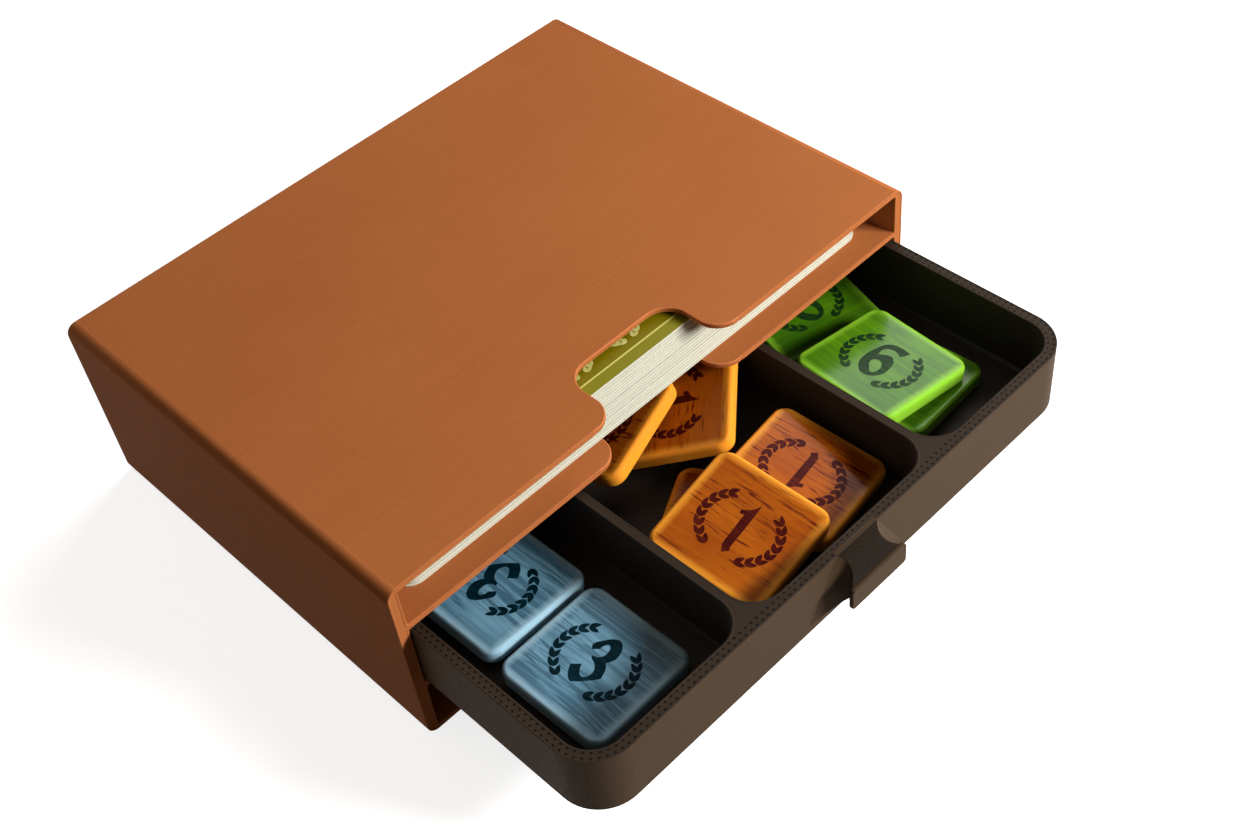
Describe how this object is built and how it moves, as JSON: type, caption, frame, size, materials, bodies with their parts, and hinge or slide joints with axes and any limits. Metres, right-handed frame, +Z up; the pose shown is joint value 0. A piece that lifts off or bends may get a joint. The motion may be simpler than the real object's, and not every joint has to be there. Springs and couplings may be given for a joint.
{
  "type": "board game piece organizer",
  "caption": "Flat printed case for game pieces, with a deck of cards in a slot at the top, a three-pocket drawer of square tiles below it and an open bay underneath.",
  "frame": {"origin": "middle of the case's footprint, on the surface that it stands on", "axes": "+X to the right as seen from the front, +Y from the front to the back along the drawer's slide, +Z up"},
  "size_m": [0.116, 0.1288, 0.036],
  "materials": {
    "case_plastic": "rust-brown printed plastic with fine layer lines",
    "drawer_plastic": "dark brown printed plastic with fine layer lines",
    "card_stock": "cream card, cut edges",
    "card_face": "olive printed card back",
    "tile_blue": "light blue cast resin with a wood-grain print, glossy rounded edges",
    "tile_amber": "amber cast resin with a wood-grain print, glossy rounded edges",
    "tile_green": "green cast resin with a wood-grain print, glossy rounded edges"
  },
  "bodies": {
    "case": {"case": "case_plastic"},
    "drawer": {"drawer": "drawer_plastic", "tile_blue_front": "tile_blue", "tile_blue_back": "tile_blue", "tile_amber_floor": "tile_amber", "tile_amber_right": "tile_amber", "tile_amber_front": "tile_amber", "tile_amber_behind": "tile_amber", "tile_amber_left": "tile_amber", "tile_green_floor": "tile_green", "tile_green_front": "tile_green", "tile_green_back": "tile_green"},
    "deck": {"card_01": "card_stock", "card_02": "card_stock", "card_03": "card_stock", "card_04": "card_stock", "card_05": "card_stock", "card_06": "card_stock", "card_07": "card_stock", "card_08": "card_stock", "card_09": "card_stock", "card_10": "card_stock", "card_11": "card_stock", "card_12": "card_stock", "card_13": "card_stock", "card_14": "card_stock", "card_15": "card_stock", "card_16": "card_stock", "card_17": "card_stock", "card_18": "card_stock", "card_19": "card_stock", "card_20": "card_stock", "card_21": "card_stock", "card_22": "card_stock", "card_23": "card_stock"},
    "top_card": {"card_24": "card_face"}
  },
  "joints": [
    {"name": "drawer_slide", "type": "slide", "parent": "case", "child": "drawer", "axis": [0, -1, 0], "range_m": [-0.0379, 0.024]},
    {"name": "deck_slide", "type": "slide", "parent": "case", "child": "deck", "axis": [0, -1, 0], "range_m": [-0.003, 0.055]},
    {"name": "top_card_slide", "type": "slide", "parent": "deck", "child": "top_card", "axis": [0, -1, 0], "range_m": [0, 0.03]}
  ]
}
